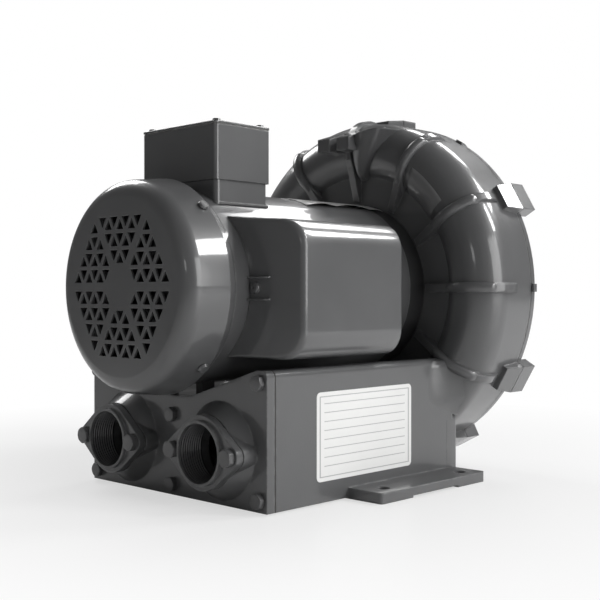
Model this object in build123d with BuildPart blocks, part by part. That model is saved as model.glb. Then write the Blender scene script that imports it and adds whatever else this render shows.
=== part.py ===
from build123d import *
from math import cos, radians, sin, sqrt
import os

# Side channel blower with a flange-mounted capacitor motor. Millimetres, Z up.
# X is the width, Y runs along the shaft (fan at -Y, impeller at +Y) and the
# origin lies on the floor in the middle of the four mounting holes.

# ---- fits -------------------------------------------------------------------
fit = 0.05            # radial gap of a seated or running fit
face_gap = 0.3        # axial gap between the impeller and the housing lands

# ---- shaft line and mounting ------------------------------------------------
shaft_z = 165.0       # shaft height above the floor
hole_x = 254.0        # mounting hole spacing across the base
hole_y = 101.6        # mounting hole spacing along the base
hole_r = 5.55

# ---- base box ---------------------------------------------------------------
base_half = 107.0     # half width of the box
base_top = 104.0      # height of the side walls
saddle_gap = 8.0      # below the motor, to the lowest part of the top
base_lift = 1.0       # box underside above the floor
base_wall = 6.0
base_front = -148.0
chamber_rear = 48.0
foot_edge = hole_x / 2 + 13.8
foot_half = hole_y / 2 + 17.9
base_rear = foot_half
foot_h = 8.5
foot_relief = 1.6

# ---- blower housing ---------------------------------------------------------
channel_r = 128.0     # radius from the shaft to the middle of the channel
tube_r = 27.5         # outer radius of the channel tube
channel_wall = 5.0
ring_front = 82.0     # front edge of the impeller rim
ring_width = 33.0
wall_front = 67.0     # face that carries the motor
wall_t = 6.0
land_in = channel_r - 30
stripper = 13.0       # half angle of the solid part between the two ports
passage = 25.0        # angle of each passage from the bottom of the ring
passage_r = 17.0
rib_t = 7.0
rib_h = 3.5
rib_angles = (-30, 0, 30, 60, 90, 120, 150, 180, 210)
lug_angles = (-30, 30, 90, 150, 210, 242, 298)
lug_w = 27.0
lug_front, lug_rear = 20.0, 19.0
lug_bolt_r = 2.6

ring_rear = ring_front + ring_width
parting = ring_rear + 3           # joint between housing and cover
housing_r = channel_r + tube_r
crown = shaft_z + housing_r
lug_top = housing_r + 7.5
lug_bolt_circle = housing_r + 1
bore_r = tube_r - channel_wall
pocket_in = channel_r - bore_r
pocket_out = channel_r + bore_r

# ---- ports ------------------------------------------------------------------
port_x = base_half - 50
port_z = 42.0
port_r = 22.3
plate_t = 8.0
plate_front = base_front - 1.0 - plate_t
neck_front = plate_front - 13.0
flange_t = 6.2
port_gasket_t = 0.8
flange_front = neck_front - port_gasket_t - flange_t
lip_h = 3.0
ear_x = 31.5
ear_r = 8.5
lip_r = 24.4

# ---- motor ------------------------------------------------------------------
shell_r = 77.5
shell_t = 3.0
saddle_z = shaft_z - shell_r - saddle_gap
shell_front = -160.0
shell_rear = 47.0
shield_front = -176.0
core_r = shell_r - shell_t - fit
core_front, core_rear = -100.0, -10.0
air_gap = 0.4
stator_bore = 45.0
slot_count = 24
de_bearing = dict(bore=12.5, outer=26.0, front=49.0, width=15.0, inner=16.0, race=22.5, balls=9)
fe_bearing = dict(bore=8.5, outer=20.0, front=-172.0, width=12.0, inner=11.6, race=16.9, balls=7)
impeller_seat = 10.0
through_bolt_circle = shell_r - 6.5
motor_bolt_circle = shell_r - 19.5

# ---- fan cover grille -------------------------------------------------------
cover_front = -208.0
cover_rear = -171.2
cover_r = shell_r + 6.9
cover_t = 2.0
cover_screw_y = -176.5
grille_tip = 3.9      # start of each sector of openings from the middle
grille_row = 12.7     # height of one row of triangles
grille_bar = 3.0

# ---- terminal box and capacitor cover --------------------------------------
tbox_x, tbox_y = 91.0, 58.0
tbox_mid = -122.7
tbox_foot = shaft_z + shell_r - 14
tbox_seam = shaft_z + shell_r + 5.1
tbox_top = tbox_seam + 42.4
conduit_r = 11.1
conduit_z = tbox_top - 23
cap_outer = shell_r + 47
cap_front, cap_rear = -136.5, -22.0
cap_z, cap_h = 163.0, 104.0
cap_screw = (shell_r + 10.5, cap_z + 4)

shaft_axis = Axis((0, 0, shaft_z), (0, 1, 0))


def radial(angle):
    """Plane through the shaft: x is the radius at this angle, y runs along the shaft."""
    a = radians(angle)
    return Plane(origin=(0, 0, shaft_z), x_dir=(cos(a), 0, sin(a)), z_dir=(-sin(a), 0, cos(a)))


def facing(y, z=0.0):
    """Plane across the shaft line at y, seen from the fan end; extrudes towards the fan."""
    return Plane(origin=(0, y, z), x_dir=(1, 0, 0), z_dir=(0, -1, 0))


def block(r0, r1, y0, y1):
    """Rectangle in a radial plane between two radii and two stations along the shaft."""
    with Locations(((r0 + r1) / 2, (y0 + y1) / 2)):
        Rectangle(r1 - r0, y1 - y0)


def around(angle, radius):
    return radius * cos(radians(angle)), radius * sin(radians(angle))


def ring(r0, r1, y0, y1, mode=Mode.ADD):
    """Turned ring or disc on the shaft line."""
    with BuildSketch(radial(0), mode=Mode.PRIVATE) as profile:
        block(r0, r1, y0, y1)
    revolve(profile.sketch.faces(), axis=shaft_axis, mode=mode)


def drill(points, radius, y_rear, depth, z=0.0, mode=Mode.SUBTRACT):
    """Round holes or pins along the shaft direction, running forward from y_rear."""
    with BuildSketch(facing(y_rear, z), mode=Mode.PRIVATE) as profile:
        with Locations(*points):
            Circle(radius)
    extrude(profile.sketch, amount=depth, mode=mode)


def bolts(points, shank_r, tip, seat, head_y, across, head_h, z=0.0, turn=0):
    """Hexagon bolts: shank between tip and seat, head from the seat to head_y."""
    drill(points, shank_r, max(tip, seat), abs(seat - tip), z, Mode.ADD)
    with BuildSketch(facing(max(seat, head_y), z), mode=Mode.PRIVATE) as head:
        with Locations(*points):
            RegularPolygon(across / sqrt(3), 6, rotation=turn)
    extrude(head.sketch, amount=head_h)
    drill(points, across / 2 - 0.7, head_y + (0.5 if head_y > seat else 0.0), 0.5, z, Mode.ADD)


def base_outline():
    """Cross section of the base box with its shallow saddle below the motor."""
    Polygon((-base_half, base_lift), (base_half, base_lift), (base_half, base_top), (base_half - 11, base_top),
            (20, saddle_z), (-20, saddle_z), (11 - base_half, base_top), (-base_half, base_top),
            align=None)
    fillet([v for v in vertices() if abs(v.X) > base_half - 1 and v.Y > saddle_z - 20], 5)
    fillet([v for v in vertices() if abs(v.X) < 21], 30)


def chamber_outline():
    """Inside of the right-hand silencer chamber."""
    w = base_wall
    Polygon((4, base_lift + w), (base_half - w, base_lift + w), (base_half - w, base_top - w),
            (base_half - 13, base_top - w), (19, saddle_z - w), (4, saddle_z - w), align=None)


# ---- blower housing: front half of the channel, base box and feet -----------
plate_bolt_points = [(x * (base_half - 8), z) for x in (-1, 1) for z in (base_top - 9, base_lift + 8.5)]
plate_bolt_points += [(0, saddle_z - 15), (0, base_lift + 8.5)]
mount_points = [(x * hole_x / 2, y * hole_y / 2) for x in (-1, 1) for y in (-1, 1)]
lug_points = [around(a, lug_bolt_circle) for a in lug_angles]
motor_bolt_points = [around(a, motor_bolt_circle) for a in (45, 135, 225, 315)]

with BuildPart() as blower_housing:
    # base box
    with BuildSketch(facing(base_rear)):
        base_outline()
    extrude(amount=base_rear - base_front)
    # channel drum
    with BuildSketch(radial(0)):
        block(0, channel_r, wall_front, parting)
        with Locations((channel_r, ring_front)):
            Circle(tube_r)
        block(channel_r, housing_r, ring_front, parting)
    revolve(axis=shaft_axis)
    # radial ribs over the front of the channel
    for angle in rib_angles:
        with BuildSketch(radial(angle)):
            with Locations((channel_r, ring_front)):
                Circle(tube_r + rib_h)
            with BuildLine():
                Polyline((shell_r + 3, wall_front + 2), (shell_r + 3, wall_front - 3), (channel_r - 16, ring_front - 27),
                         (channel_r, ring_front), close=True)
            make_face()
        extrude(amount=rib_t / 2, both=True)
    # lugs that take the cover bolts
    with BuildSketch(facing(parting, shaft_z)):
        for angle in lug_angles:
            with Locations(around(angle, (housing_r - 4 + lug_top) / 2)):
                Rectangle(lug_top - housing_r + 4, lug_w, rotation=angle)
    extrude(amount=lug_front, taper=7)
    # lifting pad on top, carried by the rib below it
    with BuildSketch(Plane.YZ):
        with BuildLine():
            Polyline((31, crown - 29.5), (31, crown - 17.5), (72, crown - 5), (ring_front, crown - 1.5),
                     (ring_front, crown - 29.5), close=True)
        make_face()
    extrude(amount=19, both=True)
    # feet
    with BuildSketch(Plane.XY):
        for side in (-1, 1):
            with Locations((side * (base_half - 8 + foot_edge) / 2, 0)):
                RectangleRounded(foot_edge - base_half + 8, 2 * foot_half, 3)
    extrude(amount=foot_h)
    with BuildSketch(Plane.XY):
        Rectangle(2 * foot_edge + 10, 60)
    extrude(amount=foot_relief, mode=Mode.SUBTRACT)
    with BuildSketch(Plane.XY):
        with Locations(*mount_points):
            Circle(hole_r)
    extrude(amount=foot_h, mode=Mode.SUBTRACT)
    # slot in the lifting pad
    with BuildSketch(Plane.XY.offset(crown - 35.5)):
        with Locations((0, 38)):
            SlotOverall(30, 9, rotation=90)
    extrude(amount=40, mode=Mode.SUBTRACT)
    # silencer chambers
    with BuildSketch(facing(chamber_rear)):
        chamber_outline()
        mirror(about=Plane.YZ)
    extrude(amount=chamber_rear - base_front, mode=Mode.SUBTRACT)
    drill(plate_bolt_points, 7.4, base_front + 22, 22, mode=Mode.ADD)
    drill(plate_bolt_points, 3.1, base_front + 18, 18)
    # impeller pocket, hub space and side channel
    ring(0, 26, wall_front + wall_t + 6, parting, Mode.SUBTRACT)
    ring(26, land_in, wall_front + wall_t, parting, Mode.SUBTRACT)
    ring(land_in, pocket_out, ring_front - face_gap, parting, Mode.SUBTRACT)
    with BuildSketch(radial(-90 - stripper)):
        with Locations((channel_r, ring_front)):
            Circle(bore_r - 1)
    revolve(axis=shaft_axis, revolution_arc=360 - 2 * stripper, mode=Mode.SUBTRACT)
    # passages from the chambers into the channel
    drill([around(a, channel_r) for a in (-90 - passage, -90 + passage)], passage_r, ring_front - 2,
          ring_front - chamber_rear, shaft_z)
    # seal bore, motor bolt holes, cover bolt holes
    ring(0, 14, wall_front, parting, Mode.SUBTRACT)
    ring(0, 20 + fit, wall_front + 3, parting, Mode.SUBTRACT)
    drill(motor_bolt_points, 3.6, wall_front + wall_t, wall_t, shaft_z)
    drill(lug_points, lug_bolt_r, parting, lug_front - 3, shaft_z)
blower_housing.part.label = "blower_housing"

# ---- housing cover: rear half of the channel --------------------------------
with BuildPart() as housing_cover:
    with BuildSketch(radial(0)):
        with Locations((channel_r, ring_rear)):
            Circle(tube_r)
        block(0, channel_r, parting, parting + 8)
        block(channel_r, housing_r, parting, parting + 6)
    revolve(axis=shaft_axis)
    for angle in rib_angles + (240, 300):
        with BuildSketch(radial(angle)):
            with Locations((channel_r, ring_rear)):
                Circle(tube_r + 2.5)
            with BuildLine():
                Polyline((30, parting + 7), (30, parting + 10), (channel_r - 20, parting + 15),
                         (channel_r, ring_rear), close=True)
            make_face()
        extrude(amount=rib_t / 2, both=True)
    ring(0, 200, 0, parting + 0.6, Mode.SUBTRACT)
    with BuildSketch(facing(parting + lug_rear, shaft_z)):
        for angle in lug_angles:
            with Locations(around(angle, (housing_r - 4 + lug_top) / 2)):
                Rectangle(lug_top - housing_r + 4, lug_w, rotation=angle)
    extrude(amount=lug_rear - 0.6)
    # boss in the middle, side channel and register lands
    ring(0, 34, parting + 8, parting + 12)
    ring(0, land_in, parting + 0.6, parting + 2, Mode.SUBTRACT)
    with BuildSketch(radial(-90 - stripper)):
        with Locations((channel_r, ring_rear)):
            Circle(bore_r - 1)
    revolve(axis=shaft_axis, revolution_arc=360 - 2 * stripper, mode=Mode.SUBTRACT)
    ring(land_in, pocket_in, ring_rear + face_gap, parting + 0.6)
    with BuildSketch(radial(-90 + stripper - 1)):
        block(land_in, pocket_out - face_gap, ring_rear + face_gap, parting + 0.6)
    revolve(axis=shaft_axis, revolution_arc=2 * stripper - 2)
    drill(lug_points, lug_bolt_r + 0.5, parting + lug_rear, lug_rear, shaft_z)
    drill(lug_points, 4.8, parting + lug_rear, 5.6, shaft_z)
housing_cover.part.label = "housing_cover"

with BuildPart() as cover_gasket:
    ring(pocket_out + 0.3, housing_r, parting, parting + 0.6)
    drill(lug_points, lug_bolt_r + 0.5, parting + 0.6, 0.6, shaft_z)
cover_gasket.part.label = "cover_gasket"

with BuildPart() as cover_bolts:
    seat = parting + lug_rear - 5.6
    drill(lug_points, lug_bolt_r - fit, seat, seat - parting + 16, shaft_z, Mode.ADD)
    drill(lug_points, 4.25, seat + 5, 5, shaft_z, Mode.ADD)
    with BuildSketch(facing(seat + 5, shaft_z)):
        with Locations(*lug_points):
            RegularPolygon(4 / sqrt(3), 6)
    extrude(amount=2.5, mode=Mode.SUBTRACT)
cover_bolts.part.label = "cover_bolts"

# ---- impeller and its fastenings -------------------------------------------
blade_count = 42
hub_front, hub_rear = ring_front - 1, ring_rear - 8
key_len = 20.0
with BuildPart() as impeller:
    middle = (ring_front + ring_rear) / 2
    with BuildSketch(radial(0)):
        block(impeller_seat + fit, 24, hub_front, hub_rear)
        block(20, pocket_in, middle - 4, middle + 4)
        block(land_in + 0.6, pocket_in, ring_front, ring_rear)
        with BuildLine():
            Polyline((pocket_in - 1, middle - 9), (pocket_out - 0.8, middle - 1.5),
                     (pocket_out - 0.8, middle + 1.5), (pocket_in - 1, middle + 9), close=True)
        make_face()
    revolve(axis=shaft_axis)
    with BuildSketch(facing(ring_rear, shaft_z)):
        with PolarLocations((pocket_in + pocket_out) / 2, blade_count):
            Rectangle(pocket_out - pocket_in - 1.2, 2.4)
    extrude(amount=ring_width)
    with BuildSketch(facing(hub_rear, shaft_z)):
        with Locations((0, impeller_seat + 1)):
            Rectangle(5 + 2 * fit, 4 + 2 * fit)
    extrude(amount=hub_rear - hub_front, mode=Mode.SUBTRACT)
    # balance and draw holes through the web
    drill([around(a, 62) for a in range(0, 360, 60)], 9, middle + 4, 8, shaft_z)
impeller.part.label = "impeller"

with BuildPart() as impeller_key:
    with BuildSketch(facing(hub_rear - 3, shaft_z)):
        with Locations((0, impeller_seat + 0.4)):
            Rectangle(5, 5)
    extrude(amount=key_len)
impeller_key.part.label = "impeller_key"

with BuildPart() as impeller_shims:
    ring(impeller_seat + fit, 15, hub_front - 1.2, hub_front - 0.6)
    ring(impeller_seat + fit, 15, hub_front - 0.6, hub_front)
impeller_shims.part.label = "impeller_shims"

with BuildPart() as impeller_washer:
    ring(4.2, 16, hub_rear, hub_rear + 3)
impeller_washer.part.label = "impeller_washer"

with BuildPart() as impeller_bolt:
    bolts([(0, 0)], 4.0, hub_rear - 22, hub_rear + 3, hub_rear + 8.3, 12.7, 5.3, shaft_z)
impeller_bolt.part.label = "impeller_bolt"

with BuildPart() as shaft_seal:
    ring(impeller_seat + 2 + fit, 20, wall_front + 3, wall_front + 10)
shaft_seal.part.label = "shaft_seal"

# ---- shaft, rotor core and bearings ----------------------------------------
shoulder = hub_front - 1.2
with BuildPart() as shaft:
    ring(0, 8, -202, fe_bearing["front"])
    ring(0, fe_bearing["bore"] - fit, fe_bearing["front"], fe_bearing["front"] + fe_bearing["width"])
    ring(0, 14, fe_bearing["front"] + fe_bearing["width"], de_bearing["front"])
    ring(0, de_bearing["bore"] - fit, de_bearing["front"], de_bearing["front"] + de_bearing["width"])
    ring(0, impeller_seat + 2, de_bearing["front"] + de_bearing["width"], shoulder)
    ring(0, impeller_seat, shoulder, hub_rear - 1)
    with BuildSketch(facing(hub_rear - 3 + fit, shaft_z)):
        with Locations((0, impeller_seat - 0.6)):
            Rectangle(5 + 2 * fit, 3 + 2 * fit)
    extrude(amount=key_len + 2 * fit, mode=Mode.SUBTRACT)
    ring(0, 4 + fit, hub_rear - 24, hub_rear, Mode.SUBTRACT)
shaft.part.label = "shaft"

with BuildPart() as rotor_core:
    ring(14 + fit, stator_bore - air_gap, core_front, core_rear)
    ring(26, stator_bore - air_gap - 1, core_front - 10, core_front)
    ring(26, stator_bore - air_gap - 1, core_rear, core_rear + 10)
    for y in (core_front - 10, core_rear + 18):
        with BuildSketch(facing(y, shaft_z)):
            with PolarLocations(36, 8):
                Rectangle(10, 3)
        extrude(amount=8)
rotor_core.part.label = "rotor_core"


def bearing_ring(spec, outer):
    if outer:
        ring(spec["race"], spec["outer"], spec["front"], spec["front"] + spec["width"])
    else:
        ring(spec["bore"], spec["inner"], spec["front"], spec["front"] + spec["width"])


def bearing_balls(spec):
    """Balls in an open crown cage, free to roll between the two races."""
    pitch = (spec["race"] + spec["inner"]) / 2
    ball = (spec["race"] - spec["inner"]) / 2 - fit
    mid = spec["front"] + spec["width"] / 2
    ring(pitch - 0.8, pitch + 0.8, mid - ball - 1.2, mid + 1)
    points = [around(360 / spec["balls"] * i + 12, pitch) for i in range(spec["balls"])]
    drill(points, ball + 0.15, mid + 2, ball + 2.15, shaft_z)
    for x, z in points:
        middle = Plane(origin=(x, mid, shaft_z + z), x_dir=(0, 0, 1), z_dir=(1, 0, 0))
        with BuildSketch(middle, mode=Mode.PRIVATE) as half:
            RegularPolygon(ball, 12, rotation=15)
            Rectangle(2 * ball, 2 * ball, align=(Align.MAX, Align.CENTER), mode=Mode.SUBTRACT)
        revolve(half.sketch.faces(), axis=Axis((x, mid, shaft_z + z), (0, 1, 0)))


with BuildPart() as drive_bearing_outer:
    bearing_ring(de_bearing, True)
drive_bearing_outer.part.label = "drive_bearing_outer"
with BuildPart() as drive_bearing_inner:
    bearing_ring(de_bearing, False)
drive_bearing_inner.part.label = "drive_bearing_inner"
with BuildPart() as drive_bearing_balls:
    bearing_balls(de_bearing)
drive_bearing_balls.part.label = "drive_bearing_balls"
with BuildPart() as fan_bearing_outer:
    bearing_ring(fe_bearing, True)
fan_bearing_outer.part.label = "fan_bearing_outer"
with BuildPart() as fan_bearing_inner:
    bearing_ring(fe_bearing, False)
fan_bearing_inner.part.label = "fan_bearing_inner"
with BuildPart() as fan_bearing_balls:
    bearing_balls(fe_bearing)
fan_bearing_balls.part.label = "fan_bearing_balls"

# ---- stator, shell and end shields -----------------------------------------
through_points = [around(a, through_bolt_circle) for a in (22.5, 112.5, 202.5, 292.5)]

with BuildPart() as stator_core:
    ring(stator_bore, core_r, core_front, core_rear)
    with BuildSketch(facing(core_rear, shaft_z)):
        with PolarLocations(54, slot_count):
            Rectangle(16, 5)
        with PolarLocations(stator_bore, slot_count):
            Rectangle(4, 2)
    extrude(amount=core_rear - core_front, mode=Mode.SUBTRACT)
    drill(through_points, 4, core_rear, core_rear - core_front, shaft_z)
    drill([around(a, core_r) for a in (22.5, 112.5, 202.5, 292.5)], 3.5, core_rear,
          core_rear - core_front, shaft_z)
stator_core.part.label = "stator_core"

with BuildPart() as windings:
    with BuildSketch(facing(core_rear, shaft_z)):
        with PolarLocations(54, slot_count):
            Rectangle(15.4, 4.4)
    extrude(amount=core_rear - core_front)
    for y0, y1 in ((core_front - 22, core_front), (core_rear, core_rear + 22)):
        with BuildSketch(radial(0)):
            block(46.5, 62.5, y0, y1)
        revolve(axis=shaft_axis)
windings.part.label = "windings"

with BuildPart() as motor_shell:
    ring(shell_r - shell_t, shell_r, shell_front, shell_rear)
    with BuildSketch(Plane.XY.offset(shaft_z)):
        with Locations((0, tbox_mid)):
            Circle(10)
    extrude(amount=100, mode=Mode.SUBTRACT)
motor_shell.part.label = "motor_shell"

with BuildPart() as drive_end_shield:
    front, rear = de_bearing["front"], de_bearing["front"] + de_bearing["width"]
    ring(0, shell_r, wall_front - 8, wall_front)
    ring(shell_r - 16, shell_r, shell_rear, wall_front)
    ring(shell_r - shell_t - 8, shell_r - shell_t - fit, shell_rear - 6, shell_rear)
    ring(0, 34, front - 3, wall_front)
    ring(0, de_bearing["outer"] + fit, front - 3, rear, Mode.SUBTRACT)
    ring(0, impeller_seat + 3, rear, wall_front, Mode.SUBTRACT)
    drill(motor_bolt_points, 5.5, wall_front, 20, shaft_z, Mode.ADD)
    drill(motor_bolt_points, 3.1, wall_front, 16, shaft_z)
    drill(through_points, 2.6, 60, 20, shaft_z)
drive_end_shield.part.label = "drive_end_shield"

with BuildPart() as fan_end_shield:
    front, rear = fe_bearing["front"], fe_bearing["front"] + fe_bearing["width"]
    ring(0, shell_r, shield_front, shield_front + 6)
    ring(shell_r - 14, shell_r, shield_front, shell_front)
    ring(shell_r - shell_t - 8, shell_r - shell_t - fit, shell_front, shell_front + 6)
    ring(0, 27, shield_front, rear + 2)
    ring(0, fe_bearing["outer"] + fit, front, rear + 2, Mode.SUBTRACT)
    ring(0, 10, shield_front, front, Mode.SUBTRACT)
    # ears that carry the fan cover
    with BuildSketch(facing(shield_front + 4, shaft_z)):
        for angle in (45, 135, 225, 315):
            with Locations(around(angle, cover_r - 8)):
                Rectangle(9, 12, rotation=angle)
    extrude(amount=7)
    for angle in (45, 135, 225, 315):
        with BuildSketch(Plane(origin=(0, cover_screw_y, shaft_z), z_dir=(cos(radians(angle)), 0, sin(radians(angle))))):
            Circle(2.1)
        extrude(amount=90, mode=Mode.SUBTRACT)
    ring(0, 8.5, -200, shield_front + 30, Mode.SUBTRACT)
    drill(through_points, 2.8, shell_front + 8, 40, shaft_z)
fan_end_shield.part.label = "fan_end_shield"

with BuildPart() as through_bolts:
    bolts(through_points, 2.5, 58, shield_front, shield_front - 3.5, 8, 3.5, shaft_z)
through_bolts.part.label = "through_bolts"

with BuildPart() as motor_bolts:
    bolts(motor_bolt_points, 3.0, wall_front - 14, wall_front + wall_t, wall_front + wall_t + 4, 11, 4, shaft_z)
motor_bolts.part.label = "motor_bolts"

# ---- cooling fan, fan cover and screws -------------------------------------
with BuildPart() as cooling_fan:
    ring(8 + fit, 13, -200, -183)
    ring(12, 66, -185.5, -183)
    with BuildSketch(facing(-185, shaft_z)):
        with PolarLocations(39, 9):
            Rectangle(54, 2.2)
    extrude(amount=14)
cooling_fan.part.label = "cooling_fan"

with BuildPart() as fan_clip:
    ring(8 + fit, 11, -201.5, -200)
fan_clip.part.label = "fan_clip"

with BuildPart() as fan_cover:
    with BuildSketch(radial(0)):
        with BuildLine():
            Polyline((0, cover_front), (cover_r - 4.1, cover_front), (cover_r, cover_rear), (0, cover_rear), close=True)
        make_face()
        fillet(vertices().group_by(Axis.X)[-2], 13)
    revolve(axis=shaft_axis)
    with BuildSketch(radial(0)):
        with BuildLine():
            Polyline((0, cover_front + cover_t), (cover_r - cover_t - 4.2, cover_front + cover_t),
                     (cover_r - cover_t, cover_rear), (0, cover_rear), close=True)
        make_face()
        fillet(vertices().group_by(Axis.X)[-2], 11)
    revolve(axis=shaft_axis, mode=Mode.SUBTRACT)
    # six sectors of triangular openings; the two kinds in a row point opposite ways
    side = 2 * grille_row / sqrt(3)
    hole = (grille_row - 1.5 * grille_bar) * 2 / 3
    with BuildSketch(facing(cover_front + cover_t, shaft_z)):
        for sector in range(30, 390, 60):
            for row in (1, 2, 3):
                for kind, count, third in ((0, row + 1, 2), (1, row, 1)):
                    for i in range(count):
                        u = grille_tip + grille_row * (row + third / 3)
                        v = (i - (count - 1) / 2) * side
                        c, s = cos(radians(sector)), sin(radians(sector))
                        with Locations((u * c - v * s, u * s + v * c)):
                            RegularPolygon(hole, 3, rotation=sector + 180 * (1 - kind))
    extrude(amount=cover_t, mode=Mode.SUBTRACT)
    for angle in (45, 135, 225, 315):
        with BuildSketch(Plane(origin=(0, cover_screw_y, shaft_z), z_dir=(cos(radians(angle)), 0, sin(radians(angle))))):
            Circle(2.2)
        extrude(amount=90, mode=Mode.SUBTRACT)
fan_cover.part.label = "fan_cover"

with BuildPart() as fan_cover_screws:
    for angle in (45, 135, 225, 315):
        c, s = cos(radians(angle)), sin(radians(angle))
        reach = cover_r - 10.4
        seat = Plane(origin=(reach * c, cover_screw_y, shaft_z + reach * s), z_dir=(c, 0, s))
        with BuildSketch(seat):
            Circle(2)
        extrude(amount=10.6)
        with BuildSketch(seat.offset(10.4)):
            Circle(4.2)
        extrude(amount=2.2, taper=20)
fan_cover_screws.part.label = "fan_cover_screws"

# ---- terminal box -----------------------------------------------------------
with BuildPart() as terminal_box_base:
    with BuildSketch(Plane.XY.offset(tbox_foot)):
        with Locations((0, tbox_mid)):
            RectangleRounded(tbox_x, tbox_y, 4)
    extrude(amount=2)
    with BuildSketch(Plane.XY.offset(tbox_foot)):
        with Locations((0, tbox_mid)):
            RectangleRounded(tbox_x - 3, tbox_y - 3, 4)
    extrude(amount=tbox_seam - tbox_foot)
    with BuildSketch(Plane.XY.offset(tbox_seam - 3)):
        with Locations((0, tbox_mid)):
            RectangleRounded(tbox_x - 9, tbox_y - 9, 2)
    extrude(amount=3, mode=Mode.SUBTRACT)
    with BuildSketch(Plane.XY.offset(200)):
        with Locations((0, tbox_mid)):
            Circle(10)
    extrude(amount=60, mode=Mode.SUBTRACT)
    ring(0, shell_r + fit, -200, 0, Mode.SUBTRACT)
terminal_box_base.part.label = "terminal_box_base"

with BuildPart() as terminal_box_body:
    with BuildSketch(Plane.XY.offset(tbox_seam)):
        with Locations((0, tbox_mid)):
            RectangleRounded(tbox_x, tbox_y, 3)
    extrude(amount=tbox_top - tbox_seam)
    with BuildSketch(Plane.XY.offset(tbox_seam + 2.5)):
        with Locations((0, tbox_mid)):
            RectangleRounded(tbox_x - 5, tbox_y - 5, 2)
    extrude(amount=60, mode=Mode.SUBTRACT)
    with BuildSketch(Plane.XY.offset(tbox_seam)):
        with Locations((0, tbox_mid)):
            Circle(18)
    extrude(amount=3, mode=Mode.SUBTRACT)
    screw_points = [(x * (tbox_x / 2 - 6), tbox_mid + y * (tbox_y / 2 - 6)) for x in (-1, 1) for y in (-1, 1)]
    with BuildSketch(Plane.XY.offset(tbox_seam + 2)):
        with Locations(*screw_points):
            Circle(4)
    extrude(amount=tbox_top - tbox_seam - 2)
    with BuildSketch(Plane.XY.offset(tbox_top - 12)):
        with Locations(*screw_points):
            Circle(1.7)
    extrude(amount=12, mode=Mode.SUBTRACT)
    with BuildSketch(Plane.YZ.offset(-tbox_x / 2 + 2.5)):
        with Locations((tbox_mid, conduit_z)):
            Circle(conduit_r)
    extrude(amount=-2.5, mode=Mode.SUBTRACT)
terminal_box_body.part.label = "terminal_box_body"

with BuildPart() as terminal_box_gasket:
    with BuildSketch(Plane.XY.offset(tbox_top)):
        with Locations((0, tbox_mid)):
            RectangleRounded(tbox_x - 1, tbox_y - 1, 3)
            RectangleRounded(tbox_x - 6, tbox_y - 6, 2, mode=Mode.SUBTRACT)
        with Locations(*screw_points):
            Circle(3.6)
            Circle(1.9, mode=Mode.SUBTRACT)
    extrude(amount=0.8)
terminal_box_gasket.part.label = "terminal_box_gasket"

lid_z = tbox_top + 0.8
with BuildPart() as terminal_box_lid:
    with BuildSketch(Plane.XY.offset(lid_z)):
        with Locations((0, tbox_mid)):
            RectangleRounded(tbox_x + 0.6, tbox_y + 0.6, 3)
        with Locations(*screw_points):
            Circle(1.9, mode=Mode.SUBTRACT)
    extrude(amount=2)
    fillet(faces().sort_by(Axis.Z)[-1].outer_wire().edges(), 0.8)
terminal_box_lid.part.label = "terminal_box_lid"

with BuildPart() as terminal_box_screws:
    with BuildSketch(Plane.XY.offset(lid_z - 9)):
        with Locations(*screw_points):
            Circle(1.65)
    extrude(amount=11.2)
    with BuildSketch(Plane.XY.offset(lid_z + 2)):
        with Locations(*screw_points):
            Circle(3.4)
    extrude(amount=1.9, taper=15)
terminal_box_screws.part.label = "terminal_box_screws"

with BuildPart() as terminal_block:
    with BuildSketch(Plane.XY.offset(tbox_seam + 2.5)):
        with Locations((0, tbox_mid + 18)):
            Rectangle(46, 14)
    extrude(amount=12)
    with BuildSketch(Plane.XY.offset(tbox_seam + 8)):
        with Locations((0, tbox_mid + 18)):
            with GridLocations(11, 1, 4, 1):
                Rectangle(8, 14)
    extrude(amount=8, mode=Mode.SUBTRACT)
terminal_block.part.label = "terminal_block"

with BuildPart() as terminal_studs:
    with BuildSketch(Plane.XY.offset(tbox_seam + 8)):
        with Locations((0, tbox_mid + 18)):
            with GridLocations(11, 1, 4, 1):
                Circle(2.2)
    extrude(amount=7)
terminal_studs.part.label = "terminal_studs"

# ---- capacitor cover on the side of the motor -------------------------------
cap_len = cap_rear - cap_front
with BuildPart() as capacitor_cover:
    with BuildSketch(facing(cap_rear, cap_z)):
        with Locations((cap_outer - 40, 0)):
            RectangleRounded(80, cap_h, 21)
        with Locations((shell_r - 20.5, 0)):
            Rectangle(20, cap_h)
        with Locations((shell_r - 47.5, 0)):
            Rectangle(40, cap_h, mode=Mode.SUBTRACT)
    extrude(amount=cap_len)
    rim = faces().sort_by(Axis.Y)[0].edges().filter_by(lambda e: e.center().X > shell_r - 26.5)
    fillet(rim, 3)
    with BuildSketch(facing(cap_rear - 2, cap_z)):
        with Locations((cap_outer - 42, 0)):
            RectangleRounded(80, cap_h - 4, 19)
        with Locations((shell_r - 27.5, 0)):
            Rectangle(30, cap_h - 4)
    extrude(amount=cap_len - 4, mode=Mode.SUBTRACT)
    ring(0, shell_r + fit, cap_front - 5, cap_rear + 5, Mode.SUBTRACT)
    # guard ribs beside the front screw
    with BuildSketch(facing(cap_front + 1)):
        with Locations(*[(cap_screw[0] + 0.5, cap_screw[1] + z) for z in (-9, 9)]):
            Rectangle(20, 1.4)
    extrude(amount=4)
    drill([cap_screw], 2.6, cap_rear, cap_len + 5)
capacitor_cover.part.label = "capacitor_cover"

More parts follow.
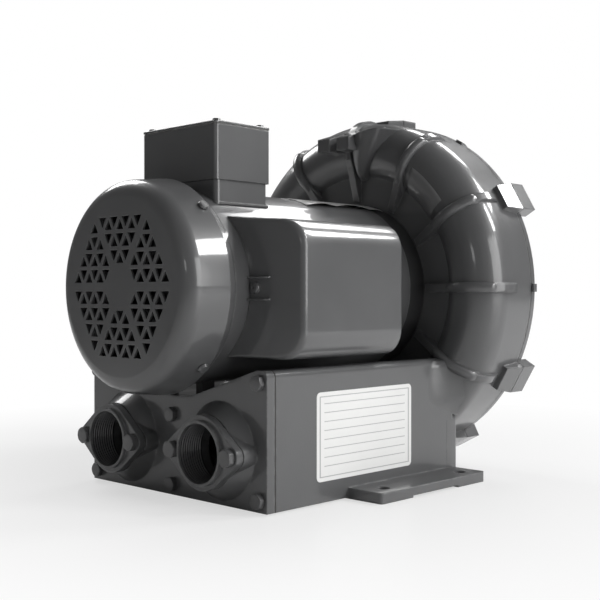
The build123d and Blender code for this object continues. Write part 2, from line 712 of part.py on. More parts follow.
with BuildPart() as capacitor_brackets:
    for y in (cap_front + 2, cap_rear - 14):
        with BuildSketch(facing(y + 12)):
            with Locations((cap_screw[0] - 2, cap_screw[1])):
                Rectangle(16, 14)
        extrude(amount=12)
    ring(0, shell_r + fit, cap_front - 5, cap_rear + 5, Mode.SUBTRACT)
    drill([cap_screw], 2.1, cap_rear, cap_len)
capacitor_brackets.part.label = "capacitor_brackets"

with BuildPart() as capacitor_screws:
    drill([cap_screw], 2, cap_front + 10, 10.2, mode=Mode.ADD)
    with BuildSketch(facing(cap_front)):
        with Locations(cap_screw):
            Circle(4.6)
    extrude(amount=2.4, taper=15)
    drill([cap_screw], 2, cap_rear + 0.2, 10.2, mode=Mode.ADD)
    with BuildSketch(facing(cap_rear + 2.4)):
        with Locations(cap_screw):
            Circle(4.6)
    extrude(amount=2.4)
capacitor_screws.part.label = "capacitor_screws"

with BuildPart() as capacitors:
    for z in (cap_z - 22.3, cap_z + 22.3):
        with BuildSketch(facing(cap_rear - 14, z)):
            with Locations((cap_outer - 24.5, 0)):
                Circle(20)
        extrude(amount=81)
        with BuildSketch(facing(cap_rear - 95, z)):
            with Locations((cap_outer - 30.5, 0), (cap_outer - 18.5, 0)):
                Rectangle(6, 1)
        extrude(amount=8)
capacitors.part.label = "capacitors"

# ---- nameplate, side label, support pads ------------------------------------
with BuildPart() as motor_nameplate:
    with BuildSketch(radial(93)):
        block(shell_r + fit, shell_r + 0.35, -14, 58)
    revolve(axis=shaft_axis, revolution_arc=34)
motor_nameplate.part.label = "motor_nameplate"

label_length, label_height = 115.0, 68.0
with BuildPart() as side_label:
    with BuildSketch(Plane.YZ.offset(base_half)):
        with Locations(((base_front + base_rear) / 2 - 7.85, base_top / 2 - 1)):
            RectangleRounded(label_length, label_height, 4)
    extrude(amount=0.3)
side_label.part.label = "side_label"

with BuildPart() as support_pads:
    with BuildSketch(facing(-136)):
        for x in (-22, 22):
            with Locations((x, saddle_z + 8.5)):
                Rectangle(8, 16)
    extrude(amount=12)
    ring(0, shell_r + fit, -200, 0, Mode.SUBTRACT)
    with BuildSketch(facing(0)):
        base_outline()
    extrude(amount=200, mode=Mode.SUBTRACT)
support_pads.part.label = "support_pads"

# ---- port plate and ports ---------------------------------------------------
with BuildPart() as plate_gasket:
    with BuildSketch(facing(base_front)):
        base_outline()
        with BuildSketch(mode=Mode.PRIVATE) as opening:
            chamber_outline()
        add(opening.sketch, mode=Mode.SUBTRACT)
        add(mirror(opening.sketch, about=Plane.YZ), mode=Mode.SUBTRACT)
        with Locations(*plate_bolt_points):
            Circle(7.4)
            Circle(3.3, mode=Mode.SUBTRACT)
    extrude(amount=1.0)
plate_gasket.part.label = "plate_gasket"


def ear_outline(hub, ear, reach):
    """Round hub with an ear at each side, around the current location."""
    Circle(hub)
    with Locations((-reach, 0), (reach, 0)):
        Circle(ear)
    make_hull()


port_bolt_points = [(p + e, port_z) for p in (-port_x, port_x) for e in (-ear_x, ear_x)]
with BuildPart() as port_plate:
    with BuildSketch(facing(base_front - 1.0)):
        base_outline()
    extrude(amount=plate_t)
    for x in (-port_x, port_x):
        with BuildSketch(Plane(origin=(x, plate_front + 1, port_z), x_dir=(1, 0, 0), z_dir=(0, -1, 0))):
            Circle(38)
        with BuildSketch(Plane(origin=(x, neck_front, port_z), x_dir=(1, 0, 0), z_dir=(0, -1, 0))):
            Circle(28.5)
        loft()
        with BuildSketch(Plane(origin=(x, neck_front, port_z), x_dir=(1, 0, 0), z_dir=(0, -1, 0))):
            ear_outline(27, ear_r, ear_x)
        extrude(amount=plate_front - neck_front - 1 + 2, dir=(0, 1, 0))
    drill([(-port_x, port_z), (port_x, port_z)], port_r, base_front, 40)
    drill(port_bolt_points, 3.3, plate_front + 5, 30)
    drill(plate_bolt_points, 3.3, base_front, 20)
port_plate.part.label = "port_plate"

with BuildPart() as port_gaskets:
    for x in (-port_x, port_x):
        with BuildSketch(Plane(origin=(x, neck_front, port_z), x_dir=(1, 0, 0), z_dir=(0, -1, 0))):
            ear_outline(27.5, ear_r - 0.5, ear_x)
            Circle(port_r, mode=Mode.SUBTRACT)
            with Locations((-ear_x, 0), (ear_x, 0)):
                Circle(3.4, mode=Mode.SUBTRACT)
        extrude(amount=port_gasket_t)
port_gaskets.part.label = "port_gaskets"


def port_flange(x):
    """Cast port flange with a proud ring around the pipe bore."""
    face = neck_front - port_gasket_t
    seat = Plane(origin=(x, face, port_z), x_dir=(1, 0, 0), z_dir=(0, -1, 0))
    with BuildSketch(seat, mode=Mode.PRIVATE) as outline:
        ear_outline(28, ear_r, ear_x)
    extrude(outline.sketch, amount=flange_t)
    drill([(x, port_z)], lip_r, face, flange_t + lip_h, mode=Mode.ADD)
    drill([(x, port_z)], port_r, face, flange_t + lip_h)
    drill([(x - ear_x, port_z), (x + ear_x, port_z)], 3.4, face, flange_t)


with BuildPart() as inlet_flange:
    port_flange(-port_x)
inlet_flange.part.label = "inlet_flange"
with BuildPart() as outlet_flange:
    port_flange(port_x)
outlet_flange.part.label = "outlet_flange"

with BuildPart() as port_bolts:
    bolts(port_bolt_points, 3.2, plate_front + 4, flange_front, flange_front - 5.3, 12.7, 5.3, turn=30)
port_bolts.part.label = "port_bolts"

with BuildPart() as plate_bolts:
    bolts(plate_bolt_points, 3.05, base_front + 16, plate_front, plate_front - 4.6, 11.1, 4.6)
plate_bolts.part.label = "plate_bolts"

# ---- silencers in the base --------------------------------------------------
tube_front, tube_rear = base_front + 0.5, chamber_rear
with BuildPart() as silencer_tubes:
    for x in (-port_x, port_x):
        drill([(x, port_z)], 24.4, tube_rear, tube_rear - tube_front, mode=Mode.ADD)
    for x in (-port_x, port_x):
        drill([(x, port_z)], 23.2, tube_rear, tube_rear - tube_front)
        for angle in (0, 60, 120):
            a = radians(angle)
            with BuildSketch(Plane(origin=(x, (tube_front + tube_rear) / 2, port_z), x_dir=(0, 1, 0),
                                   z_dir=(cos(a), 0, sin(a)))):
                with GridLocations(36, 1, 5, 1):
                    Rectangle(24, 8)
            extrude(amount=30, both=True, mode=Mode.SUBTRACT)
silencer_tubes.part.label = "silencer_tubes"

with BuildPart() as silencer_foam:
    for x in (-port_x, port_x):
        drill([(x, port_z)], 33, tube_rear - 2, tube_rear - tube_front - 4, mode=Mode.ADD)
    for x in (-port_x, port_x):
        drill([(x, port_z)], 24.6, tube_rear - 2, tube_rear - tube_front - 4)
silencer_foam.part.label = "silencer_foam"

parts = [blower_housing, housing_cover, cover_gasket, cover_bolts, impeller, impeller_key, impeller_shims,
         impeller_washer, impeller_bolt, shaft_seal, shaft, rotor_core, drive_bearing_outer,
         drive_bearing_inner, drive_bearing_balls, fan_bearing_outer, fan_bearing_inner, fan_bearing_balls,
         stator_core, windings, motor_shell, drive_end_shield, fan_end_shield, through_bolts, motor_bolts,
         cooling_fan, fan_clip, fan_cover, fan_cover_screws, terminal_box_base, terminal_box_body,
         terminal_box_gasket, terminal_box_lid, terminal_box_screws, terminal_block, terminal_studs,
         capacitor_cover, capacitor_brackets, capacitor_screws, capacitors, motor_nameplate, side_label,
         support_pads, plate_gasket, port_plate, port_gaskets, inlet_flange, outlet_flange, port_bolts,
         plate_bolts, silencer_tubes, silencer_foam]

os.makedirs("parts", exist_ok=True)
for item in parts:
    export_step(item.part, "parts/" + item.part.label + ".step")
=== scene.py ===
import bmesh
import bpy
import numpy as np
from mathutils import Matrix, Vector


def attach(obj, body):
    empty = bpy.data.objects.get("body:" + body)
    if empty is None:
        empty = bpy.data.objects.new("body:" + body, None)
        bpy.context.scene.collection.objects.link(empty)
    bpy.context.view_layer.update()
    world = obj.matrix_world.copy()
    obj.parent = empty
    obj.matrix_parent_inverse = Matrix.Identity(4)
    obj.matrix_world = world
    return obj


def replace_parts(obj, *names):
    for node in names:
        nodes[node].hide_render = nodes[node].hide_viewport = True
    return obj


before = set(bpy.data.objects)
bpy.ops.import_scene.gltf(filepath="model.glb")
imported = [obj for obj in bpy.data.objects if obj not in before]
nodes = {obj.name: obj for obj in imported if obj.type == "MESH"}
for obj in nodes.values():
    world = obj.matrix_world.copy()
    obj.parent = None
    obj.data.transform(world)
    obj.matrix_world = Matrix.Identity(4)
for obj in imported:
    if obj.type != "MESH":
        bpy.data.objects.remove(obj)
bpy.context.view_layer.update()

# ---- Camera -----------------------------------------------------------------
# A long lens at the height of the shaft, to the right of the fan end. It sees
# the fan cover, the ports and the side with the capacitor cover.
yaw, dip = np.radians(44.17), np.radians(0.295)
lens_data = bpy.data.cameras.new("camera")
lens_data.sensor_width, lens_data.lens = 36, 61.78
lens_data.shift_x, lens_data.shift_y = 0.0017, -0.0017
camera = bpy.data.objects.new("camera", lens_data)
look = Vector((-np.sin(yaw) * np.cos(dip), np.cos(yaw) * np.cos(dip), -np.sin(dip)))
camera.location = (0.6382, -0.67075, 0.1598)
camera.rotation_euler = look.to_track_quat("-Z", "Y").to_euler()
bpy.context.scene.collection.objects.link(camera)
bpy.context.scene.camera = camera


# ---- Floor and surround -----------------------------------------------------
# A pale, slightly glossy floor that fades to white away from the blower. The
# surround is white to the camera and much dimmer as a light.
def make_material(name):
    """Empty node material with its Principled BSDF; returns the material, nodes, links and shader."""
    material = bpy.data.materials.new(name)
    material.use_nodes = True
    tree = material.node_tree
    return material, tree.nodes, tree.links, tree.nodes["Principled BSDF"]


floor_half, floor_z = 6, -0.0004
floor_mesh = bpy.data.meshes.new("floor")
floor_mesh.from_pydata([(x * floor_half, y * floor_half, floor_z) for x, y in ((-1, -1), (1, -1), (1, 1), (-1, 1))],
                       [], [(0, 1, 2, 3)])
floor = bpy.data.objects.new("floor", floor_mesh)
bpy.context.scene.collection.objects.link(floor)
floor_paint, n, l, shader = make_material("pale_floor")
shader.inputs["Base Color"].default_value = (0.86, 0.86, 0.86, 1)
shader.inputs["Roughness"].default_value = 0.35
place = n.new("ShaderNodeTexCoord")
centre = n.new("ShaderNodeMapping")
centre.inputs["Location"].default_value = (0.05, -0.05, 0)
length = n.new("ShaderNodeVectorMath")
length.operation = "LENGTH"
fade = n.new("ShaderNodeMapRange")
fade.inputs["From Min"].default_value, fade.inputs["From Max"].default_value = 0.22, 0.6
white = n.new("ShaderNodeEmission")
white.inputs["Strength"].default_value = 1.0
mix = n.new("ShaderNodeMixShader")
seen = n.new("ShaderNodeLightPath")
both = n.new("ShaderNodeMath")
both.operation = "MULTIPLY"
fade.inputs["To Min"].default_value = 0.6
l.new(place.outputs["Object"], centre.inputs["Vector"])
l.new(centre.outputs["Vector"], length.inputs[0])
l.new(length.outputs["Value"], fade.inputs["Value"])
l.new(fade.outputs["Result"], both.inputs[0])
l.new(seen.outputs["Is Camera Ray"], both.inputs[1])
l.new(both.outputs["Value"], mix.inputs["Fac"])
l.new(shader.outputs["BSDF"], mix.inputs[1])
l.new(white.outputs["Emission"], mix.inputs[2])
l.new(mix.outputs["Shader"], n["Material Output"].inputs["Surface"])
floor_mesh.materials.append(floor_paint)

world = bpy.data.worlds.new("surround")
bpy.context.scene.world = world
world.use_nodes = True
n, l = world.node_tree.nodes, world.node_tree.links
lit = n["Background"]
lit.inputs["Color"].default_value = (1, 1, 1, 1)
lit.inputs["Strength"].default_value = 0.12
plain = n.new("ShaderNodeBackground")
plain.inputs["Color"].default_value = (1, 1, 1, 1)
plain.inputs["Strength"].default_value = 1.0
seen = n.new("ShaderNodeLightPath")
mix = n.new("ShaderNodeMixShader")
l.new(seen.outputs["Is Camera Ray"], mix.inputs["Fac"])
l.new(lit.outputs["Background"], mix.inputs[1])
l.new(plain.outputs["Background"], mix.inputs[2])
l.new(mix.outputs["Shader"], n["World Output"].inputs["Surface"])


# ---- Lights -----------------------------------------------------------------
# A large soft box on the side with the capacitor cover, a window and a skylight
# behind for the tops, a strip that shines on the fan cover, and two fills.
def soft_box(name, position, aim, width, height, power):
    lamp = bpy.data.lights.new(name, "AREA")
    lamp.shape, lamp.size, lamp.size_y, lamp.energy = "RECTANGLE", width, height, power
    holder = bpy.data.objects.new(name, lamp)
    holder.location = position
    holder.rotation_euler = (Vector(aim) - Vector(position)).to_track_quat("-Z", "Y").to_euler()
    bpy.context.scene.collection.objects.link(holder)


soft_box("side_box", (2.3, 0.3, 0.7), (0, 0, 0.15), 1.4, 1.2, 22)
soft_box("rear_window", (0.84, 1.4, 1.5), (0.05, -0.17, 0.2), 0.5, 0.5, 16)
soft_box("rear_skylight", (-0.35, 1.5, 1.75), (0.0, 0.0, 0.25), 1.0, 0.5, 13)
soft_box("high_strip", (1.5, 0.85, 1.4), (0.05, -0.15, 0.2), 0.36, 0.5, 15)
soft_box("left_window", (-1.6, 0.2, 1.5), (0, 0, 0.2), 0.9, 0.9, 18)
soft_box("front_window", (0.62, -1.9, 0.62), (0.05, -0.19, 0.19), 0.3, 0.22, 0.7)


# ---- Enamel -----------------------------------------------------------------
# Castings and pressings carry one semi-gloss grey enamel. It thins on edges,
# shows the sand texture of a casting and holds a little dust.
def new_group(name, inputs, outputs):
    """Shader group with named sockets; each entry is (name, type, default)."""
    group = bpy.data.node_groups.new(name, "ShaderNodeTree")
    for label, kind, default in inputs:
        socket = group.interface.new_socket(label, in_out="INPUT", socket_type=kind)
        if default is not None:
            socket.default_value = default
    for label, kind in outputs:
        group.interface.new_socket(label, in_out="OUTPUT", socket_type=kind)
    return group, group.nodes.new("NodeGroupInput"), group.nodes.new("NodeGroupOutput")


enamel, inp, out = new_group("enamel_surface", [
    ("Colour", "NodeSocketColor", (0.1, 0.1, 0.1, 1)), ("Edge Colour", "NodeSocketColor", (0.3, 0.3, 0.3, 1)),
    ("Edge Radius", "NodeSocketFloat", 0.0012), ("Edge Amount", "NodeSocketFloat", 0.6),
    ("Grain Size", "NodeSocketFloat", 900.0), ("Grain Depth", "NodeSocketFloat", 0.12),
    ("Roughness", "NodeSocketFloat", 0.38)],
    [("Colour", "NodeSocketColor"), ("Roughness", "NodeSocketFloat"), ("Normal", "NodeSocketVector")])
g, l = enamel.nodes, enamel.links
place = g.new("ShaderNodeTexCoord")
round_edge = g.new("ShaderNodeBevel")
round_edge.samples = 4
l.new(inp.outputs["Edge Radius"], round_edge.inputs["Radius"])
flat = g.new("ShaderNodeNewGeometry")
lean = g.new("ShaderNodeVectorMath")
lean.operation = "DOT_PRODUCT"
l.new(round_edge.outputs["Normal"], lean.inputs[0])
l.new(flat.outputs["Normal"], lean.inputs[1])
edge = g.new("ShaderNodeMapRange")
edge.inputs["From Min"].default_value, edge.inputs["From Max"].default_value = 0.985, 0.86
l.new(lean.outputs["Value"], edge.inputs["Value"])
chips = g.new("ShaderNodeTexNoise")
chips.inputs["Scale"].default_value, chips.inputs["Detail"].default_value = 140, 4
l.new(place.outputs["Object"], chips.inputs["Vector"])
chip_cut = g.new("ShaderNodeMapRange")
chip_cut.inputs["From Min"].default_value, chip_cut.inputs["From Max"].default_value = 0.42, 0.62
l.new(chips.outputs["Fac"], chip_cut.inputs["Value"])
worn = g.new("ShaderNodeMath")
worn.operation = "MULTIPLY"
l.new(edge.outputs["Result"], worn.inputs[0])
l.new(chip_cut.outputs["Result"], worn.inputs[1])
worn_amount = g.new("ShaderNodeMath")
worn_amount.operation = "MULTIPLY"
l.new(worn.outputs["Value"], worn_amount.inputs[0])
l.new(inp.outputs["Edge Amount"], worn_amount.inputs[1])
cloud = g.new("ShaderNodeTexNoise")
cloud.inputs["Scale"].default_value, cloud.inputs["Detail"].default_value = 22, 3
l.new(place.outputs["Object"], cloud.inputs["Vector"])
shade = g.new("ShaderNodeMapRange")
shade.inputs["To Min"].default_value, shade.inputs["To Max"].default_value = 0.88, 1.12
l.new(cloud.outputs["Fac"], shade.inputs["Value"])
tone = g.new("ShaderNodeVectorMath")
tone.operation = "SCALE"
l.new(inp.outputs["Colour"], tone.inputs[0])
l.new(shade.outputs["Result"], tone.inputs["Scale"])
dust = g.new("ShaderNodeTexVoronoi")
dust.inputs["Scale"].default_value = 260
l.new(place.outputs["Object"], dust.inputs["Vector"])
dust_cut = g.new("ShaderNodeMapRange")
dust_cut.inputs["From Min"].default_value, dust_cut.inputs["From Max"].default_value = 0.06, 0.02
dust_cut.inputs["To Max"].default_value = 0.28
l.new(dust.outputs["Distance"], dust_cut.inputs["Value"])
add = g.new("ShaderNodeMath")
add.operation = "MAXIMUM"
l.new(worn_amount.outputs["Value"], add.inputs[0])
l.new(dust_cut.outputs["Result"], add.inputs[1])
colour = g.new("ShaderNodeMix")
colour.data_type = "RGBA"
l.new(add.outputs["Value"], colour.inputs["Factor"])
l.new(tone.outputs["Vector"], colour.inputs["A"])
l.new(inp.outputs["Edge Colour"], colour.inputs["B"])
l.new(colour.outputs["Result"], out.inputs["Colour"])
gloss = g.new("ShaderNodeMapRange")
gloss.inputs["To Min"].default_value, gloss.inputs["To Max"].default_value = -0.06, 0.08
l.new(cloud.outputs["Fac"], gloss.inputs["Value"])
rough = g.new("ShaderNodeMath")
rough.operation = "ADD"
l.new(gloss.outputs["Result"], rough.inputs[0])
l.new(inp.outputs["Roughness"], rough.inputs[1])
l.new(rough.outputs["Value"], out.inputs["Roughness"])
grain = g.new("ShaderNodeTexNoise")
grain.inputs["Detail"].default_value = 3
l.new(place.outputs["Object"], grain.inputs["Vector"])
l.new(inp.outputs["Grain Size"], grain.inputs["Scale"])
bump = g.new("ShaderNodeBump")
bump.inputs["Distance"].default_value = 0.0004
l.new(inp.outputs["Grain Depth"], bump.inputs["Strength"])
l.new(grain.outputs["Fac"], bump.inputs["Height"])
l.new(round_edge.outputs["Normal"], bump.inputs["Normal"])
l.new(bump.outputs["Normal"], out.inputs["Normal"])


def enamel_material(name, colour, edge, radius, amount, size, depth, roughness):
    material, n, l, shader = make_material(name)
    shader.inputs["Coat Weight"].default_value = 0.8
    shader.inputs["Coat Roughness"].default_value = 0.08
    coat = n.new("ShaderNodeGroup")
    coat.node_tree = enamel
    coat.inputs["Colour"].default_value = (*colour, 1)
    coat.inputs["Edge Colour"].default_value = (*edge, 1)
    for label, value in (("Edge Radius", radius), ("Edge Amount", amount), ("Grain Size", size),
                         ("Grain Depth", depth), ("Roughness", roughness)):
        coat.inputs[label].default_value = value
    l.new(coat.outputs["Colour"], shader.inputs["Base Color"])
    l.new(coat.outputs["Roughness"], shader.inputs["Roughness"])
    l.new(coat.outputs["Normal"], shader.inputs["Normal"])
    return material


def dress(material, *names):
    for name in names:
        mesh = nodes[name].data
        mesh.materials.clear()
        mesh.materials.append(material)


# ---- Castings ---------------------------------------------------------------
# Sand-cast aluminium housing, cover, port plate and flanges, sprayed grey, with
# a slightly rough skin and soft edges. The drive end shield gets a darker grey:
# painted shade for its place between motor and ring.
cast_grey = enamel_material("cast_enamel", (0.1, 0.101, 0.103), (0.3, 0.3, 0.3), 0.0024, 0.45, 700, 0.22, 0.34)
dress(cast_grey, "blower_housing", "housing_cover", "port_plate", "inlet_flange", "outlet_flange",
      "fan_end_shield")
shadow_grey = enamel_material("painted_shade_enamel", (0.03, 0.03, 0.031), (0.12, 0.12, 0.12), 0.002, 0.3, 700, 0.2, 0.4)
dress(shadow_grey, "drive_end_shield")

# ---- Motor sheet metal ------------------------------------------------------
# Rolled shell, drawn fan cover and pressed covers, sprayed with the same grey.
# The sheet is smoother than the castings, so it shines more.
sheet_grey = enamel_material("sheet_enamel", (0.1, 0.101, 0.103), (0.36, 0.36, 0.36), 0.0011, 0.6, 900, 0.06, 0.33)
dress(sheet_grey, "motor_shell", "fan_cover", "terminal_box_base", "terminal_box_body", "terminal_box_lid",
      "capacitor_cover", "capacitor_brackets")

# ---- Painted fasteners ------------------------------------------------------
# Steel bolts and screws, sprayed with the machine and worn on their corners.
bolt_grey = enamel_material("bolt_enamel", (0.09, 0.09, 0.092), (0.35, 0.35, 0.35), 0.0008, 0.7, 900, 0.1, 0.36)
dress(bolt_grey, "cover_bolts", "port_bolts", "plate_bolts", "capacitor_screws")
dress(sheet_grey, "fan_cover_screws")
dress(enamel_material("dark_screw_enamel", (0.03, 0.03, 0.031), (0.2, 0.2, 0.2), 0.0006, 0.5, 900, 0.1, 0.3),
      "terminal_box_screws")


# ---- Inner pieces -----------------------------------------------------------
# Steel, copper, plastic, rubber and foam inside the machine, each in its own
# plain finish with a fine grain.
def plain_material(name, colour, metallic, roughness, size, depth, contrast):
    material, n, l, shader = make_material(name)
    shader.inputs["Metallic"].default_value = metallic
    place = n.new("ShaderNodeTexCoord")
    grain = n.new("ShaderNodeTexNoise")
    grain.inputs["Scale"].default_value, grain.inputs["Detail"].default_value = size, 4
    l.new(place.outputs["Object"], grain.inputs["Vector"])
    ramp = n.new("ShaderNodeValToRGB")
    ramp.color_ramp.elements[0].color = (*[c * (1 - contrast) for c in colour], 1)
    ramp.color_ramp.elements[1].color = (*[min(1, c * (1 + contrast)) for c in colour], 1)
    l.new(grain.outputs["Fac"], ramp.inputs["Fac"])
    l.new(ramp.outputs["Color"], shader.inputs["Base Color"])
    wear = n.new("ShaderNodeMapRange")
    wear.inputs["To Min"].default_value, wear.inputs["To Max"].default_value = roughness - 0.08, roughness + 0.08
    l.new(grain.outputs["Fac"], wear.inputs["Value"])
    l.new(wear.outputs["Result"], shader.inputs["Roughness"])
    bump = n.new("ShaderNodeBump")
    bump.inputs["Strength"].default_value, bump.inputs["Distance"].default_value = depth, 0.0003
    l.new(grain.outputs["Fac"], bump.inputs["Height"])
    l.new(bump.outputs["Normal"], shader.inputs["Normal"])
    return material


dress(plain_material("turned_steel", (0.42, 0.42, 0.43), 1, 0.32, 400, 0.1, 0.12), "shaft", "impeller_key",
      "impeller_shims", "impeller_washer", "impeller_bolt", "drive_bearing_outer", "drive_bearing_inner",
      "drive_bearing_balls", "fan_bearing_outer", "fan_bearing_inner", "fan_bearing_balls", "through_bolts",
      "motor_bolts", "fan_clip", "silencer_tubes")
dress(plain_material("cast_aluminium", (0.5, 0.5, 0.51), 1, 0.45, 500, 0.3, 0.1), "impeller")
dress(plain_material("core_steel", (0.2, 0.2, 0.21), 1, 0.5, 300, 0.2, 0.2), "rotor_core", "stator_core")
dress(plain_material("varnished_copper", (0.45, 0.2, 0.09), 0.9, 0.4, 900, 0.5, 0.35), "windings", "terminal_studs")
dress(plain_material("black_moulding", (0.02, 0.02, 0.021), 0, 0.5, 700, 0.2, 0.2), "cooling_fan",
      "terminal_block", "capacitors")
dress(plain_material("black_rubber", (0.012, 0.012, 0.012), 0, 0.7, 500, 0.3, 0.2), "shaft_seal", "support_pads")
dress(plain_material("gasket_fibre", (0.035, 0.034, 0.032), 0, 0.85, 800, 0.4, 0.3), "cover_gasket",
      "plate_gasket", "port_gaskets")
dress(plain_material("pale_gasket", (0.28, 0.28, 0.27), 0, 0.7, 180, 0.3, 0.9), "terminal_box_gasket")
dress(plain_material("open_foam", (0.05, 0.05, 0.05), 0, 0.95, 600, 1.0, 0.5), "silencer_foam")
dress(plain_material("bare_foil", (0.6, 0.6, 0.6), 1, 0.25, 60, 0.4, 0.1), "motor_nameplate")

# ---- Side label -------------------------------------------------------------
# White film, 115 mm by 68 mm, glued to the base. It carries only a grey border
# and blank ruled lines, and its gloss is slightly uneven.
white_film = plain_material("white_film", (0.82, 0.82, 0.81), 0, 0.4, 200, 0.05, 0.02)
n, l = white_film.node_tree.nodes, white_film.node_tree.links
place, split = n.new("ShaderNodeTexCoord"), n.new("ShaderNodeSeparateXYZ")
l.new(place.outputs["Object"], split.inputs["Vector"])


def label_math(operation, first, second=0.0, third=0.0):
    node = n.new("ShaderNodeMath")
    node.operation = operation
    for socket, value in zip(node.inputs, (first, second, third)):
        if isinstance(value, (int, float)):
            socket.default_value = value
        else:
            l.new(value, socket)
    return node.outputs["Value"]


label_y, label_z, line_pitch = 0.0475, 0.051, 0.0068
border_half_y, border_half_z = 0.0545, 0.031
ruled_half_y, ruled_half_z = 0.049, 0.0265
across = label_math("ABSOLUTE", label_math("ADD", split.outputs["Y"], label_y))
up = label_math("SUBTRACT", split.outputs["Z"], label_z)
height = label_math("ABSOLUTE", up)
rim = label_math("MAXIMUM", label_math("DIVIDE", across, border_half_y), label_math("DIVIDE", height, border_half_z))
border = label_math("COMPARE", rim, 0.985, 0.012)
step = label_math("FRACT", label_math("DIVIDE", label_math("ADD", up, 0.05), line_pitch))
rule = label_math("LESS_THAN", step, 0.09)
inside = label_math("MULTIPLY", label_math("LESS_THAN", across, ruled_half_y),
                    label_math("LESS_THAN", height, ruled_half_z))
ink = label_math("MAXIMUM", border, label_math("MULTIPLY", rule, inside))
shader = next(node for node in n if node.type == "BSDF_PRINCIPLED")
paper = shader.inputs["Base Color"].links[0].from_socket
print_mix = n.new("ShaderNodeMix")
print_mix.data_type = "RGBA"
print_mix.inputs["B"].default_value = (0.3, 0.3, 0.31, 1)
l.new(label_math("MULTIPLY", ink, 0.75), print_mix.inputs["Factor"])
l.new(paper, print_mix.inputs["A"])
l.new(print_mix.outputs["Result"], shader.inputs["Base Color"])
dress(white_film, "side_label")

# ---- Plate bolts ------------------------------------------------------------
# Painted steel bolts with a washer face and a turned chamfer, 11.1 mm across
# flats, screwed through the port plate, with a short shank behind each head.
def closed_piece(name, grids, material, smooth=40.0, ends="capped"):
    """One piece from grids of points [row, column, xyz]: rows run along the piece and columns go round it.

    Each point joins the next in its row and in the next row. The first and last row are "capped"
    with a face, left "open", or joined to each other ("looped")."""
    points, faces, count = [], [], 0
    for grid in grids:
        grid = np.asarray(grid, dtype=float)
        rows, cols = grid.shape[:2]
        index = np.arange(rows * cols).reshape(rows, cols) + count
        beside = np.roll(index, -1, axis=1)
        quads = np.stack([index, beside, np.roll(beside, -1, axis=0), np.roll(index, -1, axis=0)], -1)
        faces += quads[:rows if ends == "looped" else rows - 1].reshape(-1, 4).tolist()
        if ends == "capped":
            faces += [index[0, ::-1].tolist(), index[-1].tolist()]
        points += grid.reshape(-1, 3).tolist()
        count = len(points)
    mesh = bpy.data.meshes.new(name)
    mesh.from_pydata(points, [], faces)
    work = bmesh.new()
    work.from_mesh(mesh)
    bmesh.ops.remove_doubles(work, verts=work.verts, dist=1e-6)
    bmesh.ops.dissolve_degenerate(work, edges=work.edges, dist=1e-7)
    bmesh.ops.recalc_face_normals(work, faces=work.faces)
    work.to_mesh(mesh)
    work.free()
    mesh.materials.append(material)
    made = bpy.data.objects.new(name, mesh)
    bpy.context.scene.collection.objects.link(made)
    mesh.polygons.foreach_set("use_smooth", np.ones(len(mesh.polygons), dtype=bool))
    mesh.set_sharp_from_angle(angle=np.radians(smooth))
    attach(made, "frame")
    return made


def bolt_grid(x, seat, z, across, height, shank_r, shank, turn):
    """Rings from the shank to the crown. The radius is the smaller of the softened
    hexagon, half across / cos(angle within a 60 degree sector), and the chamfer cone."""
    theta = np.linspace(0, 2 * np.pi, 96, endpoint=False)
    within = (theta + turn) % (np.pi / 3) - np.pi / 6
    hexagon = (across / 2 / np.cos(within)) ** -14 + (across / 2 * 1.13) ** -14
    hexagon = hexagon ** (-1 / 14)
    crown = across / 2 * 0.93
    rings = []
    for y, low in ((shank, shank_r), (0.0, shank_r), (0.0, across / 2 * 0.96), (-0.4e-3, across / 2 * 0.97)):
        rings.append((y, np.full_like(theta, low)))
    for share in (0.09, 0.3, 0.6, 0.72, 0.8, 0.86, 0.92, 0.97, 1.0):
        cone = crown + (1 - share) * height * 1.9
        rings.append((-share * height, np.minimum(hexagon, cone)))
    for share, sink in ((0.93, 0.02), (0.8, -0.02), (0.4, -0.03), (0.02, -0.03)):
        rings.append((-(1 + sink * -0.5) * height, np.full_like(theta, crown * share)))
    return [np.stack([x + r * np.cos(theta), np.full_like(theta, seat + y), z + r * np.sin(theta)], -1)
            for y, r in rings]


plate_seat, plate_across, plate_height, plate_shank_r, shank_length = -0.157, 0.0111, 0.0046, 0.00305, 0.02
plate_places = [(-0.099, 0.0095), (-0.099, 0.095), (0.099, 0.0095), (0.099, 0.095), (0, 0.0645), (0, 0.0095)]
plate_heads = [bolt_grid(x, plate_seat, z, plate_across, plate_height, plate_shank_r, shank_length, 0.4 * i)
               for i, (x, z) in enumerate(plate_places)]
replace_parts(closed_piece("plate_bolt_heads", plate_heads, bolt_grey), "plate_bolts")

# ---- Port bolts -------------------------------------------------------------
# Larger painted steel bolts of the same kind, 12.7 mm across flats, one through
# each ear of the two pipe flanges.
port_x, port_z, ear_reach, port_seat = 0.057, 0.042, 0.0315, -0.177
port_across, port_height, port_shank_r = 0.0127, 0.0053, 0.0032
port_heads = [bolt_grid(side * port_x + ear * ear_reach, port_seat, port_z, port_across, port_height,
                        port_shank_r, shank_length, 0.5 + 0.7 * i)
              for i, (side, ear) in enumerate([(-1, -1), (-1, 1), (1, -1), (1, 1)])]
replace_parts(closed_piece("port_bolt_heads", port_heads, bolt_grey), "port_bolts")

# ---- Pipe threads in the ports ----------------------------------------------
# Thread of 2.2 mm pitch and 0.8 mm depth, cut into each cast flange's bore. It
# is darker than the casting: thin enamel, and painted shade inside the bore.
thread_grey = enamel_material("thread_enamel_and_shade", (0.05, 0.05, 0.052), (0.25, 0.25, 0.25), 0.0003, 0.5, 900, 0.2, 0.42)
thread_front, thread_rear, thread_pitch, thread_depth = -0.1785, -0.157, 0.0022, 0.0008
thread_root, thread_back, run_out = 0.0221, 0.02225, 0.0015


